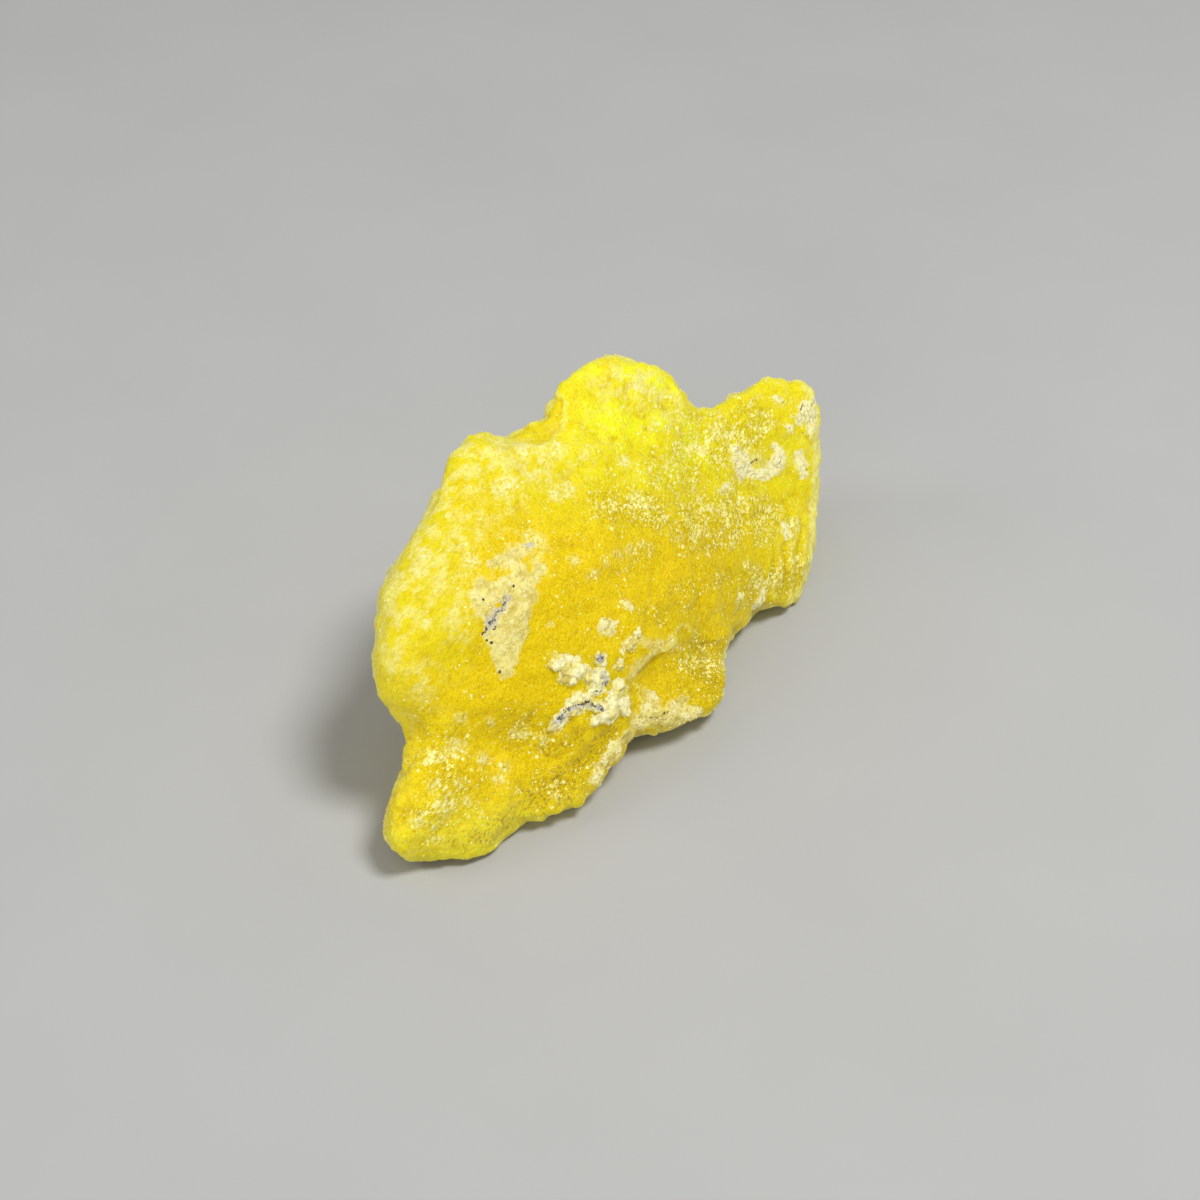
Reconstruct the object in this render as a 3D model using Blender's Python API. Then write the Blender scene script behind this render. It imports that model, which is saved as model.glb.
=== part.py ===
"""A loose lump of yellow brucite, about 67 mm long, that rests on the broken underside it was knocked off at.

It is one solid. Its broad face looks up and to one side, so it is shaped about that face: u runs along the
face to the right, v runs up the face, and w stands out of it. The rim is the closed line where the face turns
over into the back. Sizes are in millimetres and become metres where the mesh is made.
"""

import math

import bmesh
import bpy
from mathutils import Euler, Vector, noise
from mathutils.geometry import intersect_point_line

MM = 0.001
NODE = "brucite"

# The face looks up at FACE_RISE above the ground and is turned by FACE_TURN, so the lump's length lies along +X.
FACE_RISE = math.radians(40)
FACE_TURN = math.radians(-45)
GROUND_DROP = 8.8  # how far the ground lies under the face's centre, straight down
SLANT = 0.85  # the lump runs away from the face by this much for each millimetre along u

# The rim, anticlockwise from the right-hand heel: (u, v, w).
RIM = (
    (19.8, 0.4, -14.0),  # right-hand heel, on the ground
    (21.2, 3.4, -15.0),
    (22.1, 7.0, -15.5),
    (22.5, 12.0, -16.0),  # broken right-hand end
    (22.8, 17.4, -16.0),
    (22.3, 21.5, -15.0),
    (20.9, 23.3, -14.0),  # top of the right-hand arm
    (17.2, 23.6, -12.5),
    (14.6, 21.9, -11.0),
    (12.0, 20.1, -9.0),
    (9.6, 19.0, -7.0),  # valley between arm and crown
    (8.2, 21.1, -6.0),
    (6.8, 23.2, -5.0),
    (3.9, 24.2, -2.5),
    (1.0, 24.7, -1.0),  # top of the crown
    (-2.0, 23.3, 0.5),
    (-4.1, 21.4, 1.5),
    (-4.9, 18.6, 3.0),
    (-6.5, 17.5, 4.0),
    (-9.2, 15.8, 6.5),  # saddle
    (-10.7, 17.1, 7.5),
    (-12.2, 16.3, 8.5),  # left-hand shoulder
    (-13.7, 14.4, 9.5),
    (-14.4, 11.8, 10.5),
    (-15.1, 9.5, 11.0),
    (-17.1, 6.3, 12.0),
    (-18.9, 3.4, 13.0),
    (-19.9, 0.1, 13.5),  # left-hand end of the dome
    (-20.3, -4.4, 14.0),
    (-19.6, -8.5, 14.5),
    (-17.0, -11.0, 14.5),  # neck between dome and foot
    (-18.4, -15.3, 15.5),
    (-19.1, -18.9, 15.5),
    (-18.5, -22.0, 15.0),  # tip of the foot
    (-15.2, -22.4, 14.0),
    (-11.7, -22.6, 13.2),
    (-9.0, -21.5, 12.5),
    (-7.5, -19.4, 12.2),  # notch in the lower edge
    (-5.1, -19.2, 12.0),
    (-1.8, -17.6, 10.5),
    (1.1, -14.2, 7.8),
    (3.1, -11.7, 5.5),  # where the ledge starts
    (8.5, -10.7, 4.8),
    (11.8, -8.9, 2.5),  # corner of the ledge
    (12.0, -7.2, 1.0),
    (12.1, -4.4, -4.0),
    (14.6, -1.9, -8.0),
    (16.2, 0.1, -11.0),
)

# Heights of the face and of the back: (u, v, w).
FACE = (
    (-13.0, -2.5, 20.5),  # dome
    (-14.0, 4.5, 18.0),
    (-11.0, 12.5, 13.0),  # shoulder
    (-3.5, 12.0, 9.5),  # top slope
    (-3.0, 16.0, 5.0),
    (1.0, 20.0, 2.5),  # crown
    (0.0, 5.5, 11.0),  # where the top slope rolls over
    (-1.0, -2.5, 11.5),
    (-1.5, -7.0, 11.5),
    (-3.5, -14.5, 12.5),
    (-13.0, -11.0, 17.3),  # neck
    (-14.0, -16.5, 17.5),  # foot
    (-9.0, -17.0, 15.5),
    (7.5, 4.5, 3.5),
    (7.5, 12.5, 0.5),
    (16.0, 9.0, -7.5),  # arm
    (16.0, 18.0, -8.5),
    (21.0, 13.0, -12.5),
    (7.5, -6.5, 5.0),  # ledge
    (8.5, -1.0, 3.0),
)
BACK = (
    (-12.0, 9.0, -5.0),
    (-12.0, -1.5, -13.0),
    (-17.0, -7.0, 2.0),
    (-14.0, -17.0, 1.0),
    (-10.0, -15.0, -2.0),
    (-5.0, -12.0, -8.0),
    (-3.0, 17.5, -13.0),
    (0.0, 15.0, -19.0),
    (0.0, 5.5, -23.0),
    (5.0, -6.0, -12.0),
    (10.0, 16.3, -23.0),
    (10.0, 8.4, -27.0),
    (12.0, -3.0, -22.0),
    (17.0, 18.8, -25.0),
    (17.0, 11.3, -29.0),
)
HEIGHT_REACH = 5.2  # how far one height is felt along the face
FACE_EDGE = 0.7  # under 1, the face turns over into the rim sharply
BACK_EDGE = 0.8

# Creases and ridges of the face: (points along it, half width, push), with push out of the face positive.
FACE_STROKES = (
    (((-8.8, 16.4), (-6.4, 16.3), (-4.6, 16.6), (-3.2, 18.0)), 1.0, -0.6),  # crease behind the lip
    (((-11.0, 14.4), (-8.0, 14.3), (-4.0, 14.4), (0.0, 14.6)), 1.4, 0.45),  # lip of the top slope
    (((-17.5, -11.2), (-14.0, -11.8), (-9.0, -11.6), (-5.0, -11.4)), 2.2, -1.2),  # neck crease
    (((6.0, -6.6), (9.5, -5.6)), 2.2, -0.4),  # scoop of the ledge
    (((4.0, -9.8), (6.5, -9.0), (9.0, -8.4), (10.6, -7.6)), 1.0, 0.4),  # lip of the ledge
    (((10.0, 19.0), (9.2, 15.5), (9.6, 12.0)), 1.8, -0.4),  # gully between arm and crown
    (((-6.0, -14.0), (-6.6, -17.0), (-7.5, -19.5)), 1.5, -0.8),  # gully from the lower notch
    (((-13.5, 9.0), (-11.0, 5.0), (-9.0, 0.0), (-8.5, -5.0)), 3.0, 0.5),  # crest of the dome
    (((1.0, 3.0), (5.0, 5.0), (9.0, 7.5)), 3.0, -0.5),  # trough across the face
    (((-2.4, -6.4), (-0.5, -7.2), (0.8, -9.4)), 1.2, 0.5),  # heap of nodules
    (((20.6, 5.0), (21.2, 9.0)), 0.7, 0.4),  # columns of the broken end
    (((18.8, 4.0), (19.4, 8.0)), 0.7, 0.4),
    (((17.0, 3.0), (17.4, 6.5)), 0.7, 0.35),
)
# Broken steps: (points along it, reach, drop). The surface right of the line, looking along it, lies lower.
FACE_STEPS = (
    (((2.8, -10.2), (2.3, -8.4), (2.6, -6.4), (4.5, -5.2), (5.1, -4.5), (7.7, -3.6), (10.0, -3.2)), 2.2, 0.9),
    (((0.5, -12.2), (-2.4, -15.6), (-5.5, -17.6)), 1.6, 0.7),  # turned-under lower edge
)
STEP_EDGE = 0.5  # how far a step takes to fall
BACK_STROKES = (
    (((-8.0, 12.0), (0.0, 14.0), (8.0, 16.0)), 2.4, -1.2),  # long hollow under the crown
    (((-14.0, 2.0), (-6.0, 4.0), (2.0, 5.0), (12.0, 9.0)), 2.2, 0.9),  # ridge along the back
    (((14.0, 12.0), (18.0, 16.0)), 3.0, -1.0),  # broken hollow behind the arm
)

# Three worn pads that it stands on, in the ground plane: (x, y, radius).
PADS = ((-16.0, -9.0, 5.0), (20.0, -3.0, 5.0), (4.0, 9.0, 5.5))
UNDERSIDE_HOLLOW = 1.2  # how deep the underside is broken away between them
UNDERSIDE_FADE = 6.0  # how far up the sides that is felt
CAP_EDGE = 2.0  # edges longer than this inside the underside are split,
CAP_ROUNDS = 5  # this many times over

SPHERE_TURNS = 160
SPHERE_RINGS = 80
VOXEL = 0.7
SMOOTHING = 1
FACES_LEFT = 9000


def slant(u):
    return -SLANT * u


def height_field(points, u, v):
    """The height through these points, smoothly, over the slant of the whole lump."""
    total = 0.0
    weight = 1e-9
    for pu, pv, pw in points:
        near = math.exp(-((u - pu) ** 2 + (v - pv) ** 2) / (2 * HEIGHT_REACH**2)) + 1e-7
        total += near * (pw - slant(pu))
        weight += near
    return slant(u) + total / weight


def rim_at(angle):
    """(distance out, height w) of the rim in this direction round the face."""
    turns = [(math.atan2(v, u) % math.tau, math.hypot(u, v), w) for u, v, w in RIM]
    turns.sort()
    turns = [(turns[-1][0] - math.tau, *turns[-1][1:])] + turns + [(turns[0][0] + math.tau, *turns[0][1:])]
    angle %= math.tau
    for (a, out_a, w_a), (b, out_b, w_b) in zip(turns, turns[1:]):
        if a <= angle <= b:
            share = (angle - a) / max(b - a, 1e-9)
            return out_a + share * (out_b - out_a), w_a + share * (w_b - w_a)
    return turns[0][1:]


def shaped(point, rim):
    """Where a point of a unit sphere goes on the lump."""
    out, rim_w = rim
    lift = math.asin(max(-1.0, min(1.0, point.z)))
    share = abs(math.sin(lift)) ** (FACE_EDGE if lift > 0 else BACK_EDGE)
    reach = out * math.cos(lift)
    angle = math.atan2(point.y, point.x)
    u = reach * math.cos(angle)
    v = reach * math.sin(angle)
    middle = height_field(FACE if lift > 0 else BACK, u, v)
    return Vector((u, v, rim_w + (middle - rim_w) * share))


def block():
    """The lump before any fine shaping, as a mesh in millimetres about its face."""
    bm = bmesh.new()
    bmesh.ops.create_uvsphere(bm, u_segments=SPHERE_TURNS, v_segments=SPHERE_RINGS, radius=1)
    rims = {}
    for vert in bm.verts:
        angle = math.atan2(vert.co.y, vert.co.x)
        key = round(angle, 4)
        if key not in rims:
            rims[key] = rim_at(angle)
        vert.co = shaped(vert.co, rims[key])
    return bm


def to_ground(bm):
    """Turns the lump from its face's axes to the ground's, with the ground at z = 0."""
    turn = Euler((math.pi / 2 - FACE_RISE, 0, FACE_TURN)).to_matrix().to_4x4()
    bmesh.ops.transform(bm, matrix=turn, verts=bm.verts)
    bmesh.ops.translate(bm, vec=(0, 0, GROUND_DROP), verts=bm.verts)
    return turn


def underside_height(x, y):
    """The broken underside: flat on its pads, hollow between them."""
    away = min(math.hypot(x - px, y - py) / radius for px, py, radius in PADS)
    away += 0.35 * noise.noise(Vector((x, y, 7)) / 3)
    hollow = max(0.0, min(1.0, (away - 1) * 1.5))
    rough = 0.6 + 0.4 * noise.noise(Vector((x, y, 0)) / 4)
    return UNDERSIDE_HOLLOW * hollow * hollow * rough


def level_underside(bm):
    """Drops the foot of the lump so that its broken underside comes level with the ground."""
    for vert in bm.verts:
        if vert.co.z < UNDERSIDE_FADE:
            height = underside_height(vert.co.x, vert.co.y)
            vert.co.z -= height * (1 - vert.co.z / UNDERSIDE_FADE)


def restore_underside(bm):
    """Undoes level_underside, so the flat cut takes on the broken shape."""
    for vert in bm.verts:
        if vert.co.z < UNDERSIDE_FADE:
            height = underside_height(vert.co.x, vert.co.y)
            vert.co.z = (vert.co.z + height) / (1 + height / UNDERSIDE_FADE)


def on_the_cut(face):
    return all(abs(vert.co.z) < 1e-6 for vert in face.verts)


def inside_the_cut(edge):
    return all(on_the_cut(face) for face in edge.link_faces)


def cut_underside(bm):
    """Cuts the lump off flat at the ground and closes it with evenly sized faces."""
    everything = [*bm.verts, *bm.edges, *bm.faces]
    cut = bmesh.ops.bisect_plane(bm, geom=everything, plane_co=(0, 0, 0), plane_no=(0, 0, 1), clear_inner=True)
    outline = [item for item in cut["geom_cut"] if isinstance(item, bmesh.types.BMEdge)]
    closing = bmesh.ops.holes_fill(bm, edges=outline)["faces"]
    bmesh.ops.triangulate(bm, faces=closing)
    for _ in range(CAP_ROUNDS):
        too_long = [edge for edge in bm.edges if inside_the_cut(edge) and edge.calc_length() > CAP_EDGE]
        bmesh.ops.subdivide_edges(bm, edges=too_long, cuts=1)
        cap = [face for face in bm.faces if on_the_cut(face)]
        bmesh.ops.triangulate(bm, faces=cap)
        cap = [face for face in bm.faces if on_the_cut(face)]
        bmesh.ops.beautify_fill(bm, faces=cap, edges=[edge for edge in bm.edges if inside_the_cut(edge)])
        free = [vert for vert in bm.verts if all(on_the_cut(face) for face in vert.link_faces)]
        bmesh.ops.smooth_vert(bm, verts=free, factor=0.5, use_axis_x=True, use_axis_y=True)
    bmesh.ops.recalc_face_normals(bm, faces=bm.faces)


def nearest_on(place, points):
    """(distance, side) of a place on the face from a line of points; side is +1 to the left of it."""
    best = (math.inf, 1.0)
    for start, end in zip(points, points[1:]):
        start = Vector(start)
        end = Vector(end)
        share = max(0.0, min(1.0, intersect_point_line(place, start, end)[1]))
        away = place - start.lerp(end, share)
        along = end - start
        side = 1.0 if along.x * away.y - along.y * away.x > 0 else -1.0
        if away.length < best[0]:
            best = (away.length, side)
    return best


def stroke_push(u, v, strokes):
    push = 0.0
    for points, half_width, depth in strokes:
        away = nearest_on(Vector((u, v)), points)[0] / half_width
        push += depth * math.exp(-away * away)
    return push


def step_push(u, v, steps):
    push = 0.0
    for points, reach, drop in steps:
        away, side = nearest_on(Vector((u, v)), points)
        push += drop / 2 * side * math.tanh(away / STEP_EDGE) * math.exp(-((away / reach) ** 2))
    return push


def nodules(place, spacing):
    """Rounded nodules packed side by side, 0 between them and 1 at their tops."""
    nearest = noise.voronoi(place / spacing)[0][0]
    return max(0.0, 1 - 1.6 * nearest * nearest)


def roughness(place):
    """How far the natural surface stands off the plain one."""
    broad = noise.fractal(place / 9, 1.0, 2.0, 3) * 0.45
    lumps = (nodules(place + Vector((3, 8, 1)), 5.5) - 0.5) * 0.3
    small = (nodules(place, 2.6) - 0.5) * 0.25
    return broad + lumps + small


def evaluated_bmesh(obj):
    graph = bpy.context.evaluated_depsgraph_get()
    bm = bmesh.new()
    bm.from_object(obj, graph)
    return bm


def mesh_object(name, bm):
    mesh = bpy.data.meshes.new(name)
    bm.to_mesh(mesh)
    bm.free()
    obj = bpy.data.objects.new(name, mesh)
    bpy.context.scene.collection.objects.link(obj)
    return obj


def remeshed(bm, voxel):
    obj = mesh_object("rough", bm)
    remesh = obj.modifiers.new("even", "REMESH")
    remesh.mode = "VOXEL"
    remesh.voxel_size = voxel
    smooth = obj.modifiers.new("soft", "SMOOTH")
    smooth.factor = 0.5
    smooth.iterations = SMOOTHING
    bpy.context.view_layer.update()
    even = evaluated_bmesh(obj)
    bpy.data.objects.remove(obj)
    return even


def thinned(bm, faces_left):
    bmesh.ops.triangulate(bm, faces=bm.faces)
    count = len(bm.faces)
    obj = mesh_object("fine", bm)
    thin = obj.modifiers.new("thin", "DECIMATE")
    thin.ratio = min(1.0, faces_left / count)
    thin.use_collapse_triangulate = True
    bpy.context.view_layer.update()
    coarse = evaluated_bmesh(obj)
    bpy.data.objects.remove(obj)
    return coarse


def carve(bm, turn):
    """Adds the creases, ridges and nodules, each along the surface's own normals."""
    to_face = turn.inverted().to_3x3()
    drop = Vector((0, 0, GROUND_DROP))
    bm.normal_update()
    moves = []
    for vert in bm.verts:
        place = to_face @ (vert.co - drop)
        facing = (to_face @ vert.normal).z
        push = roughness(vert.co)
        if facing > 0:
            on_face = stroke_push(place.x, place.y, FACE_STROKES) + step_push(place.x, place.y, FACE_STEPS)
            push += on_face * min(1.0, 3 * facing)
        else:
            push += stroke_push(place.x, place.y, BACK_STROKES) * min(1.0, -3 * facing)
        moves.append((vert, vert.normal * push))
    for vert, move in moves:
        vert.co += move


def settle_pads(bm):
    """Puts every corner that lies within a hair of the ground exactly on it."""
    for vert in bm.verts:
        if vert.co.z < 0.12:
            vert.co.z = 0.0


def centred(bm):
    xs = [vert.co.x for vert in bm.verts]
    ys = [vert.co.y for vert in bm.verts]
    middle = Vector(((min(xs) + max(xs)) / 2, (min(ys) + max(ys)) / 2, 0))
    bmesh.ops.translate(bm, vec=-middle, verts=bm.verts)
    print("face centre in the ground's axes, mm:", tuple(round(c, 3) for c in (Vector((0, 0, GROUND_DROP)) - middle)))


def brucite_material():
    material = bpy.data.materials.new("yellow_brucite")
    material.use_nodes = True
    shader = material.node_tree.nodes["Principled BSDF"]
    shader.inputs["Base Color"].default_value = (0.83, 0.62, 0.03, 1)
    shader.inputs["Roughness"].default_value = 0.45
    shader.inputs["Metallic"].default_value = 0.0
    shader.inputs["Subsurface Weight"].default_value = 0.6
    shader.inputs["Subsurface Radius"].default_value = (0.004, 0.003, 0.0005)
    return material


def build():
    for obj in list(bpy.data.objects):
        bpy.data.objects.remove(obj)
    bm = block()
    turn = to_ground(bm)
    bm = remeshed(bm, VOXEL)
    carve(bm, turn)
    level_underside(bm)
    cut_underside(bm)
    restore_underside(bm)
    bm = thinned(bm, FACES_LEFT)
    settle_pads(bm)
    centred(bm)
    bmesh.ops.scale(bm, vec=(MM, MM, MM), verts=bm.verts)
    stone = mesh_object(NODE, bm)
    stone.data.materials.append(brucite_material())
    stone.data.shade_smooth()


build()
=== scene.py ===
import math
import random

import bmesh
import bpy
from mathutils import Matrix, Vector, noise
from mathutils.bvhtree import BVHTree
from mathutils.geometry import intersect_point_line


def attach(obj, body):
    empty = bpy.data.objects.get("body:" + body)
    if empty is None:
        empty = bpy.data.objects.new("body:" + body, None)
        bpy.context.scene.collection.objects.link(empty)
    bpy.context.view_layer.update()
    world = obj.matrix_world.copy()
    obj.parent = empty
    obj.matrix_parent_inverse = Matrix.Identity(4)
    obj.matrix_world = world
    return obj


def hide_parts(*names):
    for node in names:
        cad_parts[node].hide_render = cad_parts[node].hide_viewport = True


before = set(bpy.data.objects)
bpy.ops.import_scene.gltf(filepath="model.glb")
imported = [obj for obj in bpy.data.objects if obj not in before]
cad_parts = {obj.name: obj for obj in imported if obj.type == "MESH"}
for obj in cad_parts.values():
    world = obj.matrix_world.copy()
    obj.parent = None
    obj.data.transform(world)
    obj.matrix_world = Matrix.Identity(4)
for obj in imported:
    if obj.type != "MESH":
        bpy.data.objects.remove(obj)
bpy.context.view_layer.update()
mm = 0.001  # metres

# The broad face that the lump is shaped about. What grows on it is placed in mm: right and up along it.
face = {
    "centre": (-1.977, -1.077, 8.8),  # mm
    "rise": 40,  # degrees that it looks up
    "turn": -45,  # degrees that it is turned about the upright: 0 would look towards -Y
}
slant = 50  # degrees from level that the stone's grain runs, along the face
nowhere = -99.0  # the depth of a place that lies far outside every stroke


def faceAxes():
    tip = math.radians(face["rise"])
    turn = math.radians(face["turn"])
    right = Vector((math.cos(turn), math.sin(turn), 0))
    out = Vector((math.sin(turn) * math.cos(tip), -math.cos(turn) * math.cos(tip), math.sin(tip)))
    return right, out.cross(right), out


right, up, out = faceAxes()
faceCentre = Vector(face["centre"])


def onFace(place):  # mm in the frame's axes to mm along the face
    away = place - faceCentre
    return away.dot(right), away.dot(up)


def rise(low, high, value):  # 0 below low, 1 above high, smooth between
    share = max(0.0, min(1.0, (value - low) / (high - low)))
    return share * share * (3 - 2 * share)


def insideStroke(u, v, stroke):  # how deep a place lies in a stroke of (right, up, half width) points
    if len(stroke) == 1:
        cu, cv, width = stroke[0]
        return width - math.hypot(u - cu, v - cv)
    best = nowhere
    place = Vector((u, v))
    for (au, av, aw), (bu, bv, bw) in zip(stroke, stroke[1:]):
        share = max(0.0, min(1.0, intersect_point_line(place, Vector((au, av)), Vector((bu, bv)))[1]))
        near = math.hypot(u - au - share * (bu - au), v - av - share * (bv - av))
        best = max(best, aw + share * (bw - aw) - near)
    return best


class Patch:  # a set of strokes, each with a box round it so that places past its reach cost nothing
    def __init__(self, strokes, reach=1.5):
        self.boxed = []
        for stroke in strokes:
            us = [point[0] for point in stroke]
            vs = [point[1] for point in stroke]
            wide = max(point[2] for point in stroke) + reach
            self.boxed.append((min(us) - wide, max(us) + wide, min(vs) - wide, max(vs) + wide, stroke))

    def depth(self, u, v):
        best = nowhere
        for lowU, highU, lowV, highV, stroke in self.boxed:
            if lowU < u < highU and lowV < v < highV:
                best = max(best, insideStroke(u, v, stroke))
        return best


# Crust on the face, in sets: strokes of (right, up, half width), mm, and the bare windows left in them.
crust = {
    "sheet": {
        "thickness": 0.06,
        "knobs": 0.04,  # how far its knobs stand up
        "pale": 0.3,  # 0 khaki, 1 white
        "cover": 0.85,  # how little of the stone shows through
        "grainy": 0.12,  # its share of grains and of the painted shade in crevices
        "strokes": (
            ((-8.4, -5.5, 0.7), (-8.5, -4.4, 1.0), (-8.2, -3.0, 1.3), (-8.0, -1.8, 1.5), (-7.6, -0.5, 1.5),
             (-7.3, 0.8, 1.4), (-7.3, 2.2, 1.2), (-7.5, 3.6, 0.9), (-8.0, 4.6, 0.9), (-7.2, 5.4, 0.5),
             (-6.2, 5.9, 0.3)),
            ((-10.7, 2.8, 0.4), (-10.8, 1.4, 0.7), (-10.4, 0.3, 0.8), (-9.6, -0.3, 0.7), (-9.3, -1.6, 0.9),
             (-9.3, -2.4, 0.7)),
            ((-10.4, 1.6, 1.0), (-8.8, 1.9, 1.1)),
            ((-9.7, 4.2, 0.4), (-8.6, 4.5, 0.6)),
            ((-10.1, -2.2, 0.3), (-9.4, -2.2, 0.5)),
            ((-5.5, 3.8, 0.6), (-5.9, 3.0, 0.5), (-6.3, 1.8, 0.4), (-5.8, 1.2, 0.4)),
        ),
        "windows": (
            ((-10.2, 2.8, 0.15), (-9.4, 3.0, 0.4), (-8.7, 3.3, 0.4), (-8.0, 3.6, 0.2)),
        ),
    },
    "heap": {
        "thickness": 0.2,
        "knobs": 0.25,
        "pale": 0.8,
        "cover": 0.95,
        "grainy": 0.3,
        "strokes": (
            ((-4.2, -4.9, 0.5), (-3.5, -4.5, 0.8), (-2.8, -4.7, 0.8), (-2.3, -5.5, 0.8), (-1.5, -5.6, 0.7),
             (-0.6, -6.2, 0.8), (0.1, -6.3, 0.6)),
            ((0.0, -5.0, 0.5), (0.1, -5.8, 0.5), (0.0, -7.1, 0.5), (-0.7, -7.5, 0.4), (-1.8, -7.8, 0.5),
             (-2.7, -8.3, 0.4)),
            ((-3.2, -5.6, 0.6), (-2.6, -6.3, 0.5)),
            ((0.0, -4.5, 0.5),),
            ((0.3, -9.1, 0.5), (-0.8, -8.6, 0.6), (-2.0, -8.7, 0.5), (-3.1, -9.3, 0.5), (-3.8, -10.0, 0.6),
             (-4.3, -10.5, 0.5)),
            ((1.8, -6.9, 0.6), (1.5, -7.7, 0.8), (1.2, -8.6, 0.9), (0.9, -9.4, 0.9), (0.1, -9.8, 0.6),
             (-0.5, -10.2, 0.4)),
            ((2.2, -8.0, 0.4), (2.3, -9.2, 0.5)),
            ((1.8, -5.2, 0.35), (1.9, -4.6, 0.15)),
            ((2.0, -3.6, 0.35), (2.6, -3.2, 0.45), (3.3, -2.5, 0.35), (3.5, -1.7, 0.25)),
        ),
    },
    "rim": {
        "thickness": 0.07,
        "knobs": 0.09,
        "pale": 0.12,
        "cover": 0.88,
        "grainy": 0.9,
        "strokes": (
            ((3.4, -10.5, 0.6), (5.0, -10.2, 0.9), (7.0, -9.9, 0.9), (9.2, -9.5, 0.5)),
            ((4.6, -7.7, 0.5), (5.0, -8.7, 0.9), (4.4, -9.7, 0.9)),
            ((7.8, -8.6, 0.6), (6.9, -9.2, 0.8)),
            ((2.6, -11.4, 0.5), (1.4, -12.7, 0.6), (0.3, -14.1, 0.6), (-0.6, -15.5, 0.5)),
        ),
    },
    "horseshoe": {
        "thickness": 0.1,
        "knobs": 0.16,
        "pale": 0.95,
        "cover": 0.97,
        "grainy": 0.5,
        "strokes": (
            ((13.5, 16.0, 0.45), (14.0, 15.0, 0.95), (14.2, 14.2, 0.95), (14.1, 13.3, 0.5)),
            ((14.3, 14.2, 0.7), (15.2, 13.7, 0.55), (16.5, 13.5, 0.65), (17.3, 14.1, 0.7), (18.0, 15.0, 0.75),
             (18.3, 15.6, 0.5), (17.7, 16.7, 0.35)),
            ((12.6, 12.4, 0.25), (12.2, 12.0, 0.3)),
        ),
    },
    "end": {
        "thickness": 0.05,
        "knobs": 0.12,
        "pale": 0.75,
        "cover": 0.92,
        "grainy": 0.6,
        "strokes": (
            ((21.6, 21.2, 0.5), (20.9, 20.4, 0.8), (20.3, 19.6, 0.7), (19.9, 18.9, 0.3)),
            ((21.7, 20.0, 0.7), (21.5, 18.6, 0.6), (21.6, 17.6, 0.3)),
            ((19.1, 18.5, 0.45),),
            ((20.1, 16.0, 0.4), (20.5, 14.7, 0.7), (20.8, 13.8, 0.4)),
            ((17.9, 21.4, 0.5),),
            ((16.3, 2.0, 0.3), (15.9, 1.0, 0.4), (15.6, 0.3, 0.4)),
            ((13.8, 1.3, 0.35),),
            ((18.7, 8.6, 0.4), (18.9, 7.6, 0.4)),
        ),
    },
    "film": {
        "thickness": 0.02,
        "knobs": 0.02,
        "pale": 0.3,
        "cover": 0.4,
        "grainy": 0.15,
        "strokes": (
            ((3.2, -2.5, 0.4), (5.0, -3.3, 0.6), (6.8, -3.3, 0.45), (7.7, -3.6, 0.2)),
            ((4.8, -4.3, 0.5), (3.7, -5.0, 0.6), (2.8, -6.2, 0.3)),
            ((2.9, -6.2, 0.12), (2.6, -8.0, 0.12), (3.1, -10.0, 0.15)),
            ((-4.5, -1.2, 0.35),),
            ((15.4, 14.9, 0.6), (16.4, 14.7, 0.6)),
        ),
    },
    "spot": {
        "thickness": 0.1,
        "knobs": 0.08,
        "pale": 0.5,
        "cover": 0.92,
        "grainy": 0.8,
        "strokes": (
            ((0.6, -1.5, 0.85),),
            ((2.5, 0.4, 0.35),),
        ),
    },
}

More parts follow.
